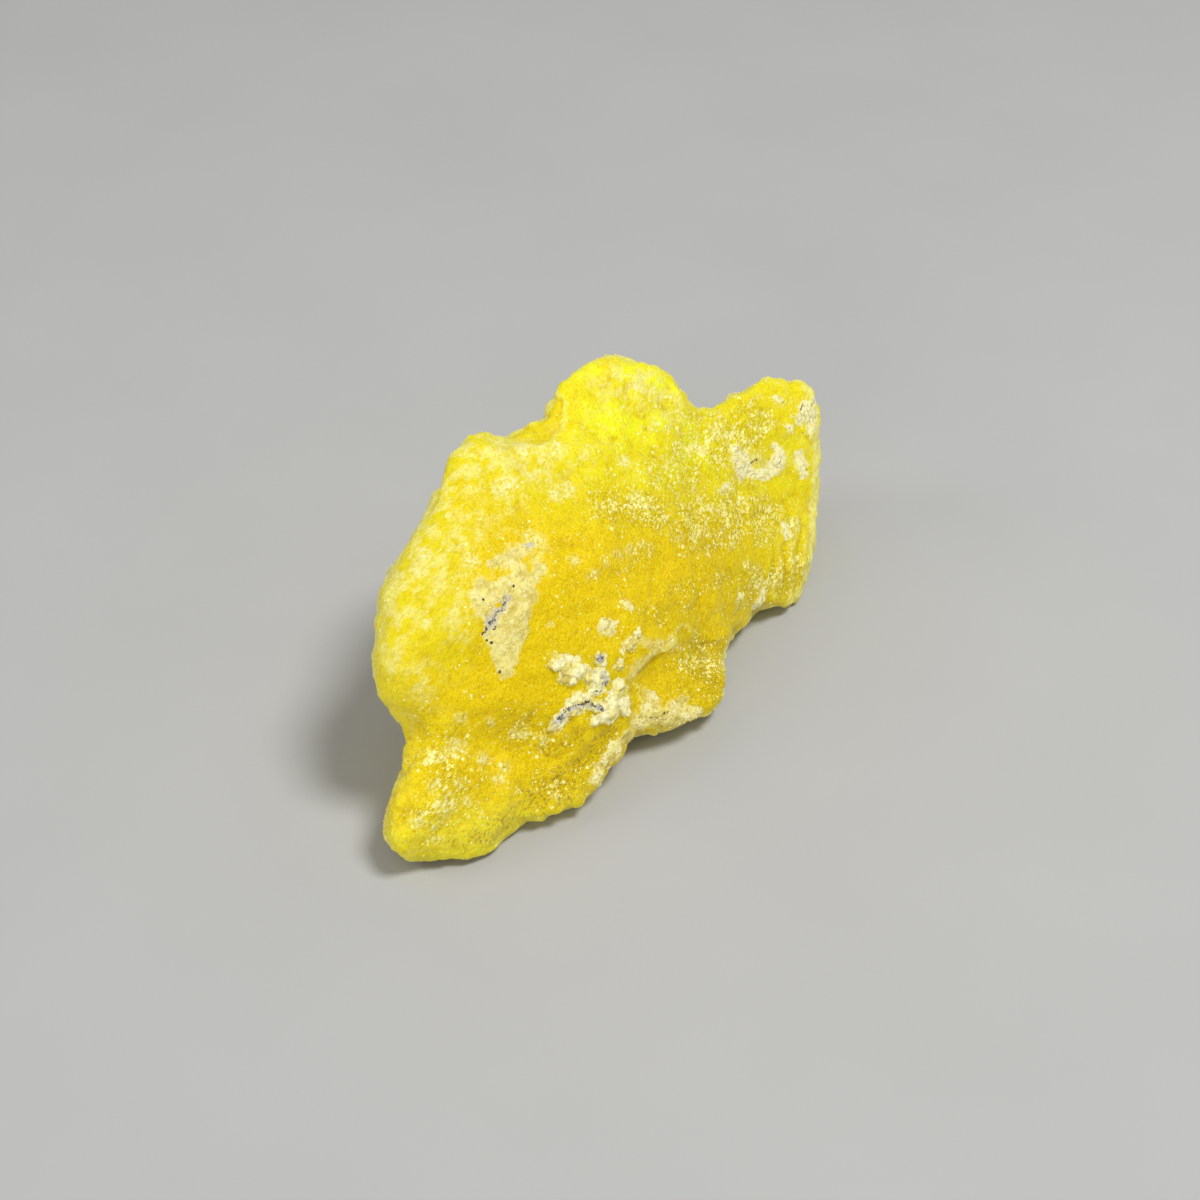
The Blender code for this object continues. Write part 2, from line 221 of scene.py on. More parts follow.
# Blue-grey stains in the crust: thin dark lines, a lavender haze round them, and dots (right, up, radius).
stain = {
    "reach": 0.8,  # mm past its strokes that the haze is felt
    "lines": (
        ((-10.4, -2.1, 0.1), (-10.0, -1.5, 0.15)),
        ((-9.9, -1.2, 0.25), (-9.4, -0.8, 0.2)),
        ((-9.5, -1.6, 0.12), (-9.1, -1.4, 0.15)),
        ((-9.2, -0.1, 0.15), (-8.6, 0.1, 0.15)),
        ((-8.6, 0.5, 0.05), (-8.3, 0.9, 0.08)),
        ((0.3, -9.2, 0.16), (0.1, -8.8, 0.16), (-0.6, -8.7, 0.1), (-1.0, -8.2, 0.14), (-1.6, -8.5, 0.08),
         (-2.4, -8.6, 0.07), (-2.9, -8.9, 0.14), (-3.3, -9.3, 0.08), (-3.9, -9.9, 0.14)),
        ((-0.2, -4.5, 0.16), (0.3, -4.3, 0.2)),
        ((0.4, -6.4, 0.08), (0.5, -6.9, 0.14)),
        ((-0.5, -7.3, 0.05), (-0.2, -7.3, 0.05)),
        ((15.0, 14.6, 0.03), (15.4, 14.9, 0.09), (15.8, 15.1, 0.03)),
        ((18.1, 14.6, 0.04), (18.3, 15.2, 0.04)),
        ((20.6, 20.8, 0.04), (20.4, 20.3, 0.06)),
    ),
    "haze": (
        ((-10.1, -1.9, 0.25), (-9.6, -1.0, 0.45), (-9.0, 0.0, 0.45), (-8.4, 1.0, 0.35)),
        ((-6.9, 5.9, 0.1), (-6.2, 5.9, 0.15)),
        ((0.2, -9.0, 0.15), (-0.8, -8.6, 0.1), (-2.0, -8.7, 0.05), (-3.0, -9.1, 0.15), (-3.9, -10.0, 0.15)),
        ((0.0, -4.4, 0.35),),
        ((0.2, -5.6, 0.05), (0.4, -6.3, 0.2), (0.4, -6.9, 0.15)),
    ),
    "dots": (
        (-10.3, 1.0, 0.15), (-7.7, 2.2, 0.17), (-9.6, -2.8, 0.19), (-8.9, -5.4, 0.19), (-10.0, -2.6, 0.14),
        (-0.3, -7.3, 0.15), (0.1, -7.3, 0.11), (-1.3, -8.2, 0.11), (6.0, -9.6, 0.15), (6.3, -9.5, 0.11),
        (4.8, -10.0, 0.11), (15.7, 14.9, 0.09), (19.2, 18.4, 0.09), (20.7, 18.0, 0.09), (21.1, 14.3, 0.11),
    ),
}

# Clouds: soft milky patches under the surface.
clouds = {
    "reach": 2.0,
    "fade": (-1.6, 1.4),  # depths between which they thicken
    "wander": 1.2,  # mm that their borders stray
    "strokes": (
        ((-13.8, 9.5, 1.4), (-16.0, 5.0, 1.8), (-17.5, 0.5, 1.8), (-18.0, -4.5, 0.8)),
        ((-16.8, 11.5, 0.9), (-18.5, 6.0, 1.0), (-19.8, 1.0, 1.0), (-20.2, -4.0, 0.9)),
        ((-8.8, 11.2, 1.6), (-9.5, 9.8, 1.2)),
        ((-11.5, 8.0, 1.2), (-13.5, 3.5, 1.6), (-12.5, -1.0, 1.2)),
        ((-8.0, 5.2, 1.6), (-6.0, 4.8, 1.0)),
        ((-15.5, 13.0, 1.0), (-13.5, 14.2, 1.4), (-11.0, 14.6, 1.6), (-7.5, 14.6, 1.3), (-4.0, 14.4, 0.9),
         (-1.0, 14.8, 0.5)),
        ((-15.5, -6.5, 1.0), (-16.5, -9.5, 0.4)),
        ((-15.0, 10.5, 1.3), (-13.0, 12.3, 1.7), (-10.5, 12.8, 1.7), (-7.5, 13.0, 1.3), (-5.0, 12.2, 0.8)),
        ((0.5, 22.2, 0.6), (3.0, 22.0, 1.1), (5.2, 21.3, 1.0), (6.8, 19.8, 0.6)),
    ),
}

# Where the surface is finely pitted and wrinkled.
pits = (
    ((-13.5, -21.0, 0.6), (-10.5, -20.3, 1.0), (-7.5, -18.3, 1.2), (-3.5, -15.8, 1.4), (-0.8, -13.0, 1.2),
     (1.0, -11.2, 0.8)),
    ((-4.5, -12.5, 0.8), (-2.0, -11.5, 0.8)),
)

# Where pale flecks and grains crowd the surface. A half width below 0 leaves only their outer haze.
grains = {
    "reach": 3.0,
    "fade": (-2.5, 2.0),
    "wander": 1.5,
    "strokes": (
        ((7.0, 13.0, 2.2), (10.0, 16.0, 2.2), (15.0, 18.0, 2.0)),
        ((9.0, 8.5, 2.3), (13.0, 10.0, 2.7), (17.0, 9.0, 1.5)),
        ((15.0, 2.0, 0.8), (19.0, 4.0, 0.9)),
        ((10.0, -4.5, 1.5), (11.0, -7.0, 1.3)),
        ((-14.0, -12.5, 1.3), (-12.5, -15.5, 1.8), (-15.5, -19.0, 1.0)),
        ((-6.5, -16.8, 0.2), (-3.0, -15.5, 0.4)),
        ((4.0, -0.5, -0.4), (8.0, 2.5, -0.2), (12.5, 3.5, 0.0)),
        ((0.5, 2.5, -0.6), (4.0, 5.5, -0.4), (7.0, 7.0, 0.0)),
        ((-7.0, -11.0, 0.8), (-5.0, -11.5, 0.5)),
        ((1.0, 10.0, 1.4), (5.0, 9.5, 1.6)),
        ((6.0, 19.0, 0.6), (7.5, 18.0, 0.8)),
    ),
}

# Broken facets that lie a step below the surface round them, with a painted highlight along their brink and
# painted shade inside.
setbacks = {
    "depth": 0.3,
    "brink": 0.8,
    "strokes": (
        ((3.9, -6.4, 0.7), (5.4, -5.7, 1.3), (7.2, -5.2, 1.5), (9.0, -4.2, 1.9), (11.5, -5.0, 2.0)),
        ((5.0, -7.6, 1.2), (8.0, -7.5, 2.0), (11.0, -8.0, 2.5)),
        ((8.3, -3.2, 1.0), (7.9, -2.3, 0.6)),
        ((-8.6, 16.6, 0.5), (-7.2, 16.4, 0.9), (-5.7, 16.4, 1.1), (-4.7, 17.6, 1.1), (-4.3, 19.4, 0.9)),
    ),
}

# A pale band along the broken end's edge.
bevel = (
    ((20.9, 22.6, 0.4), (21.8, 21.4, 0.45), (22.2, 19.0, 0.45), (22.3, 16.0, 0.5), (22.2, 12.5, 0.5),
     (21.8, 9.2, 0.5), (21.7, 6.6, 0.5), (21.2, 4.0, 0.5), (20.6, 2.0, 0.4), (19.4, 0.9, 0.3)),
)

# The lump's own shape, over the solid: how high each kind of relief stands, and its size, mm.
body = {
    "voxel": 0.3,
    "softening": 6,  # rounds that take the flat facets out of the solid
    "front": (-0.1, 0.3),  # how squarely a place looks out of the face, from back to front
    "wander": ((0.32, 1.1), (0.25, 2.4)),  # how far borders stray, mm, and how often to a mm
    "broad": 0.16,
    "broadSize": 5,
    "lumps": 0.2,
    "lumpSize": 2.3,
    "knobs": 0.18,
    "knobSize": 1.2,
    "grit": 0.12,
    "gritSize": 0.65,
    "crustKnobSize": 0.9,
    "standClear": (0.12, 1.5),  # mm above the ground between which the surface starts to be shaped
}

# The back follows no strokes: it has patches of crust, milk and grains, and falls into upright lobes.
rear = {
    "crustSize": 5.5,
    "crustDepth": 2.2,
    "crustBare": 0.34,  # higher leaves more of it bare
    "milkSize": 6,
    "milk": (0.0, 0.5),
    "grainSize": 4.5,
    "grain": (-0.2, 0.4),
    "grainShare": 0.6,
    "lobes": 0.55,
    "lobeSize": 5.0,
    "lemon": 0.4,
    # a painted glow of light through the stone, all over the back
    "paintedGlow": 0.3,
}

# Where the look changes along the face: each fades in from its first number to its second, mm right or up.
fades = {
    "upper": (4, 15),  # up
    "crown": (9, 19),  # up
    "crownLeft": (-6, 0),
    "crownRight": (9, 14),
    "domeEnd": (-7, -15),  # leftwards
    "domeTop": (-8, 0),  # up
    "domeRim": (-15, -19),  # leftwards
    "domeUnder": (0, -5),  # down
    "domeCalm": (-9, -1),  # rightwards, out of the smooth dome
    "neck": (-9, -14),  # down
    "foot": (-14, -20),  # down
    "footTip": (-16, -21),  # down
    "trough": (2, 7),  # rightwards
    "troughTop": (3, 10),  # up
    "arm": (8, 18),  # rightwards
    "armTop": (2, 10),  # up
    "lowArm": (9, 15),  # rightwards
    "lowArmUnder": (9, 3),  # down
    "ledgeOlive": (6.5, 9.0),  # rightwards
    "ledgeBrink": (7.5, 9.5),  # rightwards, where the brink ends
    "ledgeLevel": (7, 10),  # rightwards, where the step runs out
}
footLine = -9  # mm up the face: below it lies the rough foot


def fade(name, value):
    return rise(*fades[name], value)


def knobbly(place, spacing):  # rounded knobs packed side by side: 0 between them, 1 at their tops
    near = noise.voronoi(place / spacing)[0][0]
    return max(0.0, 1 - 1.5 * near * near)


def lobed(place, spacing):  # broad upright lobes with creases between: 0 in the creases, 1 on the lobes
    nearest = noise.voronoi(Vector((place.x, place.y, 0.6 * place.z)) / spacing)[0]
    return rise(0.0, 0.45, nearest[1] - nearest[0])


# The broken end is columnar: ridges that run up the face and fan out.
columns = {
    "spacing": 1.3,
    "height": 0.22,
    "lean": 0.10,
    "from": (16.2, 17.6),  # they fade in between these, mm right
    "top": (6.0, 11.0),  # and fade out between these, mm up at the arm's middle
    "middle": 20,
    "topSlope": 1.5 / 4,  # mm higher that they reach for each mm to the right
}


def columnar(u, v, place):  # -1 in the grooves, 1 on the ridges, 0 where there are none
    across = (u - columns["lean"] * v) / columns["spacing"] + 0.35 * noise.noise(place / 2.5)
    ridge = abs(math.sin(math.pi * across)) ** 0.8 * 2 - 1
    height = v + columns["topSlope"] * (columns["middle"] - u)
    share = rise(*columns["from"], u) * (1 - rise(*columns["top"], height))
    return ridge * share * (0.75 + 0.5 * noise.noise(place / 1.8))


def remeshed(bm, voxel, rounds):  # one even skin over everything, softened
    mesh = bpy.data.meshes.new("rough")
    bm.to_mesh(mesh)
    bm.free()
    rough = bpy.data.objects.new("rough", mesh)
    bpy.context.scene.collection.objects.link(rough)
    even = rough.modifiers.new("even", "REMESH")
    even.mode = "VOXEL"
    even.voxel_size = voxel
    soft = rough.modifiers.new("soft", "SMOOTH")
    soft.factor = 0.5
    soft.iterations = rounds
    bpy.context.view_layer.update()
    made = bmesh.new()
    made.from_object(rough, bpy.context.evaluated_depsgraph_get())
    bpy.data.objects.remove(rough)
    made.normal_update()
    return made


def softCopy():  # the CAD solid with its facets smoothed away
    bm = bmesh.new()
    bm.from_mesh(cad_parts["brucite"].data)
    bmesh.ops.remove_doubles(bm, verts=bm.verts, dist=1e-6)
    bmesh.ops.scale(bm, vec=(1 / mm, 1 / mm, 1 / mm), verts=bm.verts)
    return remeshed(bm, body["voxel"], body["softening"])


def crustAt(u, v, sets):  # how deep a place lies in the crust, and which set it is
    best, bestSet = nowhere, crust["rim"]
    for said, strokes, windows in sets:
        depth = strokes.depth(u, v)
        if depth > nowhere:
            depth = min(depth, -windows.depth(u, v))
        if depth > best:
            best, bestSet = depth, said
    return best, bestSet


# Separate pale blotches (right, up, radius), mm: milky ones in the stone, and ones of gathered grains.
blotches = {
    "milky": (
        (-9.0, 11.2, 0.9), (-8.0, 11.5, 0.7), (-3.1, 11.1, 0.75), (-4.0, 10.8, 0.8), (-6.6, 6.8, 0.5),
        (-5.9, 6.3, 0.8), (-2.3, 4.6, 0.5), (-11.4, 4.5, 0.7), (-15.8, 3.6, 0.7), (-17.8, 2.7, 0.9),
        (-15.6, 5.0, 0.7), (-15.2, -1.1, 0.4), (-7.1, 14.8, 0.8), (-4.1, 15.1, 0.6), (2.3, 14.1, 0.7),
        (3.4, 10.5, 0.7), (-5.4, 3.8, 0.6), (3.4, 21.6, 0.6), (-12.7, -12.2, 0.9), (-14.0, -12.8, 0.5),
        (-13.3, -16.5, 0.6), (-13.9, -17.5, 0.7), (-16.0, -18.5, 0.6), (-14.5, -20.3, 0.45),
        (-14.6, -15.4, 0.5), (-9.0, -15.0, 0.4), (-10.4, -13.3, 0.5), (5.2, 21.3, 0.5), (1.5, 22.7, 0.4),
    ),
    "grainy": (
        (-12.4, -9.4, 0.5), (-14.9, -13.1, 0.6), (-12.7, -15.1, 0.4), (-11.9, -17.0, 0.35),
        (-9.9, -9.9, 0.3), (-7.7, -11.1, 0.4), (-6.8, -11.3, 0.45), (-5.2, -11.8, 0.45), (-8.4, -14.0, 0.45),
        (-3.8, -17.0, 0.4), (11.5, 17.4, 0.75), (9.3, 15.7, 0.5), (9.8, 10.6, 0.5), (11.2, 9.6, 0.5),
        (11.9, 11.7, 0.4), (14.1, 10.6, 0.4), (-1.2, 3.0, 0.25), (-0.5, 3.5, 0.3), (0.3, 4.2, 0.25),
        (1.6, 5.2, 0.35), (2.8, 5.6, 0.35), (3.8, 6.0, 0.3), (8.2, 8.6, 0.35), (9.4, 9.4, 0.3),
        (10.6, 9.9, 0.4), (12.8, 11.6, 0.3), (9.0, 11.6, 0.4), (7.6, 7.0, 0.3), (9.0, 7.2, 0.35),
        (16.5, 11.5, 0.35), (17.3, 10.0, 0.3), (13.5, 9.0, 0.3), (11.9, 7.5, 0.3), (13.0, 6.2, 0.3),
        (14.4, 4.4, 0.3), (18.3, 21.2, 0.45), (19.8, 8.6, 0.6), (18.9, 7.7, 0.6), (19.9, 5.1, 0.4),
        (15.6, 2.5, 0.7), (16.7, 2.4, 0.6), (15.7, 4.0, 0.45), (13.6, 1.0, 0.4), (10.0, -4.8, 0.6),
        (6.8, -3.0, 0.5), (2.5, 0.4, 0.4),
    ),
}

blotchReach = 2  # mm from its middle that a blotch is looked for
blotchFade = 0.35  # mm either side of a blotch's border


def blotched(u, v, kind, wobble):  # how far into a blotch of this kind a place lies, 0 to 1
    best = 0.0
    for cu, cv, radius in blotches[kind]:
        if abs(u - cu) < blotchReach and abs(v - cv) < blotchReach:
            best = max(best, rise(-blotchFade, blotchFade, radius - math.hypot(u - cu, v - cv) + wobble))
    return best


# Small corners and nicks of the outline (right, up, radius, how far out), mm.
nudges = (
    (-18.9, -9.2, 2.2, -0.30), (-20.3, -3.5, 2.5, -0.20), (3.6, -12.6, 3.0, -0.30), (16.0, -1.0, 1.6, -0.35),
    (2.6, 24.7, 2.0, -0.25), (-0.5, 24.3, 1.5, -0.20), (-2.6, -18.3, 1.2, -0.30), (14.2, 22.2, 1.6, -0.25),
    (6.2, -11.5, 1.2, -0.20), (7.8, 22.0, 1.2, -0.25), (-5.2, 18.1, 0.9, -0.20), (-14.8, 11.3, 1.0, -0.25),
    (12.1, -5.3, 0.8, -0.25), (22.8, 12.6, 1.5, -0.20), (-6.8, -19.9, 0.9, 0.35), (-9.4, -21.5, 1.0, 0.30),
    (-5.2, -19.1, 0.8, 0.25), (21.8, 22.3, 0.9, 0.35), (16.2, 23.4, 0.8, 0.25), (11.9, -8.6, 0.8, 0.25),
    (-10.3, 16.7, 0.5, 0.25), (-12.1, 16.1, 0.5, 0.20),
)


def nudged(u, v):  # how far out the outline is moved here
    total = 0.0
    for cu, cv, radius, push in nudges:
        far = ((u - cu) ** 2 + (v - cv) ** 2) / radius ** 2
        if far < 1:
            total += push * (1 - far) ** 2
    return total


layerNames = ("crust", "pale", "cover", "rind", "cloud", "blotch", "stain", "grain", "lemon", "crownHighlight", "paintedGlow",
              "edge", "deep", "oliveAndShade", "pitted", "groove", "crest")


def newLayers(bm, names):  # a value on every vertex for each name, which the materials read
    return {name: bm.verts.layers.float.new(name) for name in names}


def facePatches():  # all the strokes that the layers are drawn from
    return {
        "crust": [(said, Patch(said["strokes"]), Patch(said.get("windows", ()))) for said in crust.values()],
        "stain": Patch(stain["haze"], stain["reach"]),
        "cloud": Patch(clouds["strokes"], clouds["reach"]),
        "grain": Patch(grains["strokes"], grains["reach"]),
        "setback": Patch(setbacks["strokes"]),
        "bevel": Patch(bevel),
        "pit": Patch(pits),
    }


class Spot:  # a place on the lump: where it lies, which way it looks, and what grows there
    def __init__(self, vert, patches):
        self.place = vert.co
        self.u, self.v = onFace(self.place)
        self.turned = vert.normal.dot(out)
        self.front = rise(*body["front"], self.turned)
        self.wobble = sum(far * noise.noise(self.place * often) for far, often in body["wander"])
        self.step = patches["setback"].depth(self.u, self.v) + 0.5 * self.wobble
        self.back = rise(-0.1, 0.1, self.step) * self.front
        self.crustDepth, self.said = self.crustFound(patches["crust"])
        self.crusted = rise(-0.15, 0.3, self.crustDepth)
        self.blotch = {kind: blotched(self.u, self.v, kind, self.wobble) * self.front for kind in blotches}
        self.dense = self.grainFound(patches["grain"])
        self.ridge = columnar(self.u, self.v, self.place)

    def crustFound(self, sets):  # the strokes' crust where it looks out of the face, elsewhere the rear's
        found, said = crustAt(self.u, self.v, sets) if self.front > 0.5 else (nowhere, crust["rim"])
        patchy = noise.noise(self.place / rear["crustSize"] + Vector((4, 1, 9)))
        hidden = rear["crustDepth"] * (patchy - rear["crustBare"]) if self.front < 0.3 else nowhere
        return max(found, hidden) + self.wobble, said

    def grainFound(self, patch):
        depth = patch.depth(self.u, self.v) + grains["wander"] * noise.noise(self.place / 2.5)
        patchy = rise(*rear["grain"], noise.noise(self.place / rear["grainSize"]))
        behind = rear["grainShare"] * (1 - self.front) * patchy
        return max(rise(*grains["fade"], depth) * self.front, behind, self.blotch["grainy"])


def grownLayers(spot, patches):  # the crust, stains, clouds and grains
    u, v, front = spot.u, spot.v, spot.front
    cloudDepth = patches["cloud"].depth(u, v) if front > 0 else nowhere
    milky = rise(*clouds["fade"], cloudDepth + clouds["wander"] * noise.noise(spot.place / 2.0)) * front
    behind = (1 - front) * rise(*rear["milk"], noise.noise(spot.place / rear["milkSize"] + Vector((7, 3, 2))))
    return {
        "crust": max(-1.0, min(1.0, spot.crustDepth)),
        "pale": spot.said["pale"],
        "cover": spot.said["cover"],
        "rind": spot.crusted * spot.said["grainy"] * front,
        "cloud": max(milky, behind),
        "blotch": max(spot.blotch["grainy"], spot.blotch["milky"]),
        "stain": rise(-0.3, 0.1, patches["stain"].depth(u, v) + spot.wobble * 0.5) * front,
        "grain": spot.dense,
        "pitted": rise(-0.8, 0.8, patches["pit"].depth(u, v) + 2 * spot.wobble) * front,
        "groove": spot.ridge * front,
    }


def edgeShare(spot, patches):  # how pale a place is on an edge: painted rim light where it turns away from the face, the broken end's own pale band, and a painted highlight on set-back brinks
    edge = rise(0.45, 0.1, spot.turned + 0.2 * noise.noise(spot.place / 1.7)) * rise(-0.6, 0.0, spot.turned)
    edge *= 1 - 0.6 * fade("neck", spot.v)
    bevelled = 1.3 * rise(-0.2, 0.3, patches["bevel"].depth(spot.u, spot.v) + 0.6 * spot.wobble)
    brink = rise(-0.45, -0.2, spot.step) * (1 - rise(-0.15, 0.05, spot.step))
    brink *= 1 - fade("ledgeBrink", spot.u)
    return max(edge, bevelled, setbacks["brink"] * brink * spot.front)


def tintLayers(spot):  # the clear stone's tints, with painted light and shade: a painted highlight on the crown, a painted glow where it is thin, painted shade in the trough and set-back facets
    u, v, front, back = spot.u, spot.v, spot.front, spot.back
    domeEnd = 0.9 * fade("domeEnd", u) * (0.35 + 0.65 * fade("domeTop", v))
    arm = 0.7 * fade("arm", u) * (0.4 + 0.6 * fade("armTop", v))
    # a paler lemon: partly the stone's own tone, partly painted light on the upper face and the foot's tip,
    # and duller in the set-back facets as painted shade
    lemony = max(fade("upper", v), domeEnd, 0.9 * fade("footTip", v), arm) * (1 - 0.4 * back)
    # painted highlight on the lit crown
    crown = fade("crown", v) * fade("crownLeft", u) * (1 - fade("crownRight", u))
    # painted glow of light through the thin foot and the dome's lower rim
    glowing = max(fade("foot", v), fade("domeRim", u) * fade("domeUnder", v))
    trough = fade("trough", u - 0.4 * v) * (1 - fade("troughTop", v))
    lowArm = fade("lowArm", u) * fade("lowArmUnder", v)
    return {
        "lemon": lemony * front + rear["lemon"] * (1 - front),
        "crownHighlight": crown * (1 - back) * front,
        "paintedGlow": glowing * front + rear["paintedGlow"] * (1 - front),
        # painted shade in the trough and the set-back facets
        "deep": max(trough, 0.3 * back) * front,
        # painted shade on the set-back ledge; a darker olive on the lower arm and a duller olive at the
        # dome's end
        "oliveAndShade": max(back * fade("ledgeOlive", u), 0.7 * domeEnd * front, 0.8 * lowArm * front),
    }


def relief(spot):  # how far the surface is pushed out, mm, and how high on its knobs a place is
    place, front, back = spot.place, spot.front, spot.back
    calm = 0.45 + 0.55 * fade("domeCalm", spot.u) if spot.v > footLine else 1.2
    calm += 0.5 * rise(0.55, 0.2, abs(spot.turned))
    lumps = knobbly(place, body["lumpSize"])
    knobs = knobbly(place + Vector((5, 2, 7)), body["knobSize"])
    grit = knobbly(place, body["gritSize"])
    push = body["broad"] * noise.fractal(place / body["broadSize"], 1.0, 2.0, 3)
    push += body["lumps"] * calm * (lumps - 0.5)
    push += body["knobs"] * calm * (knobs - 0.5)
    push += body["grit"] * (0.3 + spot.dense) * (grit - 0.5)
    step = setbacks["depth"] * back * (1 - fade("ledgeLevel", spot.u))
    push += columns["height"] * spot.ridge * front - step
    push += nudged(spot.u, spot.v) * rise(0.75, 0.45, abs(spot.turned))
    push += rear["lobes"] * (1 - front) * (lobed(place + Vector((3, 8, 1)), rear["lobeSize"]) - 0.7)
    crustKnobs = knobbly(place, body["crustKnobSize"])
    push += spot.crusted * (spot.said["thickness"] + spot.said["knobs"] * (crustKnobs - 0.4))
    push *= rise(*body["standClear"], place.z)
    # the knobs' height, by which the materials paint shade low between them
    plain = 0.3 * lumps + 0.4 * knobs + 0.3 * grit
    plain = 0.6 * plain + 0.4 * rise(-0.3, 0.3, push)
    return push, plain + spot.crusted * (0.7 * crustKnobs + 0.3 * grit - plain)


def shapeBody(bm):
    layers = newLayers(bm, layerNames)
    patches = facePatches()
    bm.normal_update()
    moves = []
    for vert in bm.verts:
        spot = Spot(vert, patches)
        push, crest = relief(spot)
        values = {**grownLayers(spot, patches), **tintLayers(spot)}
        values.update(edge=edgeShare(spot, patches), crest=crest)
        for name, value in values.items():
            vert[layers[name]] = value
        moves.append((vert, vert.normal * push))
    for vert, move in moves:
        vert.co += move
        vert.co.z = max(0.0, vert.co.z)
    bm.normal_update()
    return BVHTree.FromBMesh(bm)


def finishedPiece(name, bm, material):
    bmesh.ops.scale(bm, vec=(mm, mm, mm), verts=bm.verts)
    mesh = bpy.data.meshes.new(name)
    bm.to_mesh(mesh)
    bm.free()
    mesh.shade_smooth()
    mesh.materials.append(material)
    piece = bpy.data.objects.new(name, mesh)
    bpy.context.scene.collection.objects.link(piece)
    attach(piece, "root")
    return piece


class Wire:  # a shader value that can be used in sums
    def __init__(self, paint, socket):
        self.paint = paint
        self.socket = socket

    def maths(self, operation, *values):
        return self.paint.node("ShaderNodeMath", {"operation": operation}, dict(enumerate(values)))

    def __add__(self, other):
        return self.maths("ADD", self, other)

    __radd__ = __add__

    def __sub__(self, other):
        return self.maths("SUBTRACT", self, other)

    def __rsub__(self, other):
        return self.maths("SUBTRACT", other, self)

    def __mul__(self, other):
        return self.maths("MULTIPLY", self, other)

    __rmul__ = __mul__

    def atMost(self, other):
        return self.maths("MINIMUM", self, other)

    def atLeast(self, other):
        return self.maths("MAXIMUM", self, other)

    def between(self, low, high):  # 0 below low, 1 above high, smooth between
        inputs = {"Value": self, "From Min": low, "From Max": high}
        return self.paint.node("ShaderNodeMapRange", {"interpolation_type": "SMOOTHSTEP"}, inputs)


class Paint:  # one material and its nodes
    def __init__(self, name):
        self.material = bpy.data.materials.new(name)
        self.material.use_nodes = True
        self.tree = self.material.node_tree
        self.shader = self.tree.nodes["Principled BSDF"]

    def join(self, value, socket):
        if isinstance(value, Wire):
            self.tree.links.new(value.socket, socket)
        else:
            socket.default_value = value

    def node(self, kind, settings, inputs, output=0):
        made = self.tree.nodes.new(kind)
        for name, value in settings.items():
            setattr(made, name, value)
        for name, value in inputs.items():
            self.join(value, made.inputs[name])
        return Wire(self, made.outputs[output])

    def dress(self, sockets):  # set or link the shader's own sockets
        for name, value in sockets.items():
            self.join(value, self.shader.inputs[name])

    def places(self):  # mm
        inMetres = self.node("ShaderNodeTexCoord", {}, {}, "Object")
        return self.node("ShaderNodeVectorMath", {"operation": "SCALE"}, {0: inMetres, "Scale": 1 / mm})

    def stretched(self, place, factors):
        return self.node("ShaderNodeVectorMath", {"operation": "MULTIPLY"}, {0: place, 1: factors})

    def alongFace(self, place, degrees):  # places along the face, its axes turned by some degrees
        away = self.node("ShaderNodeVectorMath", {"operation": "SUBTRACT"}, {0: place, 1: faceCentre})
        cosine, sine = math.cos(math.radians(degrees)), math.sin(math.radians(degrees))
        axes = (right * cosine + up * sine, up * cosine - right * sine, out)
        dot = {"operation": "DOT_PRODUCT"}
        parts = [self.node("ShaderNodeVectorMath", dot, {0: away, 1: axis}, "Value") for axis in axes]
        return self.node("ShaderNodeCombineXYZ", {}, dict(enumerate(parts)))

    def cloud(self, place, size, detail, rough):  # 0 to 1
        inputs = {"Vector": place, "Scale": 1 / size, "Detail": detail, "Roughness": rough}
        return self.node("ShaderNodeTexNoise", {}, inputs)

    def cells(self, place, size):  # 0 in the middle of each cell
        return self.node("ShaderNodeTexVoronoi", {}, {"Vector": place, "Scale": 1 / size}, "Distance")

    def specks(self, place, size, chance, roundness):  # separate ragged dots, more and larger as chance grows
        noisy = {"Vector": place, "Scale": 1.6 / size, "Detail": 2.0}
        blur = self.node("ShaderNodeTexNoise", {}, noisy, "Color")
        shake = {0: blur, 1: (0.5 * size,) * 3, 2: place}  # half a dot's size makes them ragged
        shaken = self.node("ShaderNodeVectorMath", {"operation": "MULTIPLY_ADD"}, shake)
        tint = self.node("ShaderNodeTexVoronoi", {}, {"Vector": shaken, "Scale": 1 / size}, "Color")
        near = Wire(self, tint.socket.node.outputs["Distance"])
        drawn = self.node("ShaderNodeSeparateColor", {}, {0: tint})
        return ((drawn + chance) * roundness - near).between(-0.04, 0.10)

    def field(self, name):
        return self.node("ShaderNodeAttribute", {"attribute_name": name}, {}, "Fac")

    def mix(self, share, first, second, blend="MIX"):
        settings = {"data_type": "RGBA", "blend_type": blend}
        return self.node("ShaderNodeMix", settings, {0: share, 6: first, 7: second}, 2)

    def bump(self, height, distance):
        return self.node("ShaderNodeBump", {}, {"Height": height, "Distance": distance})


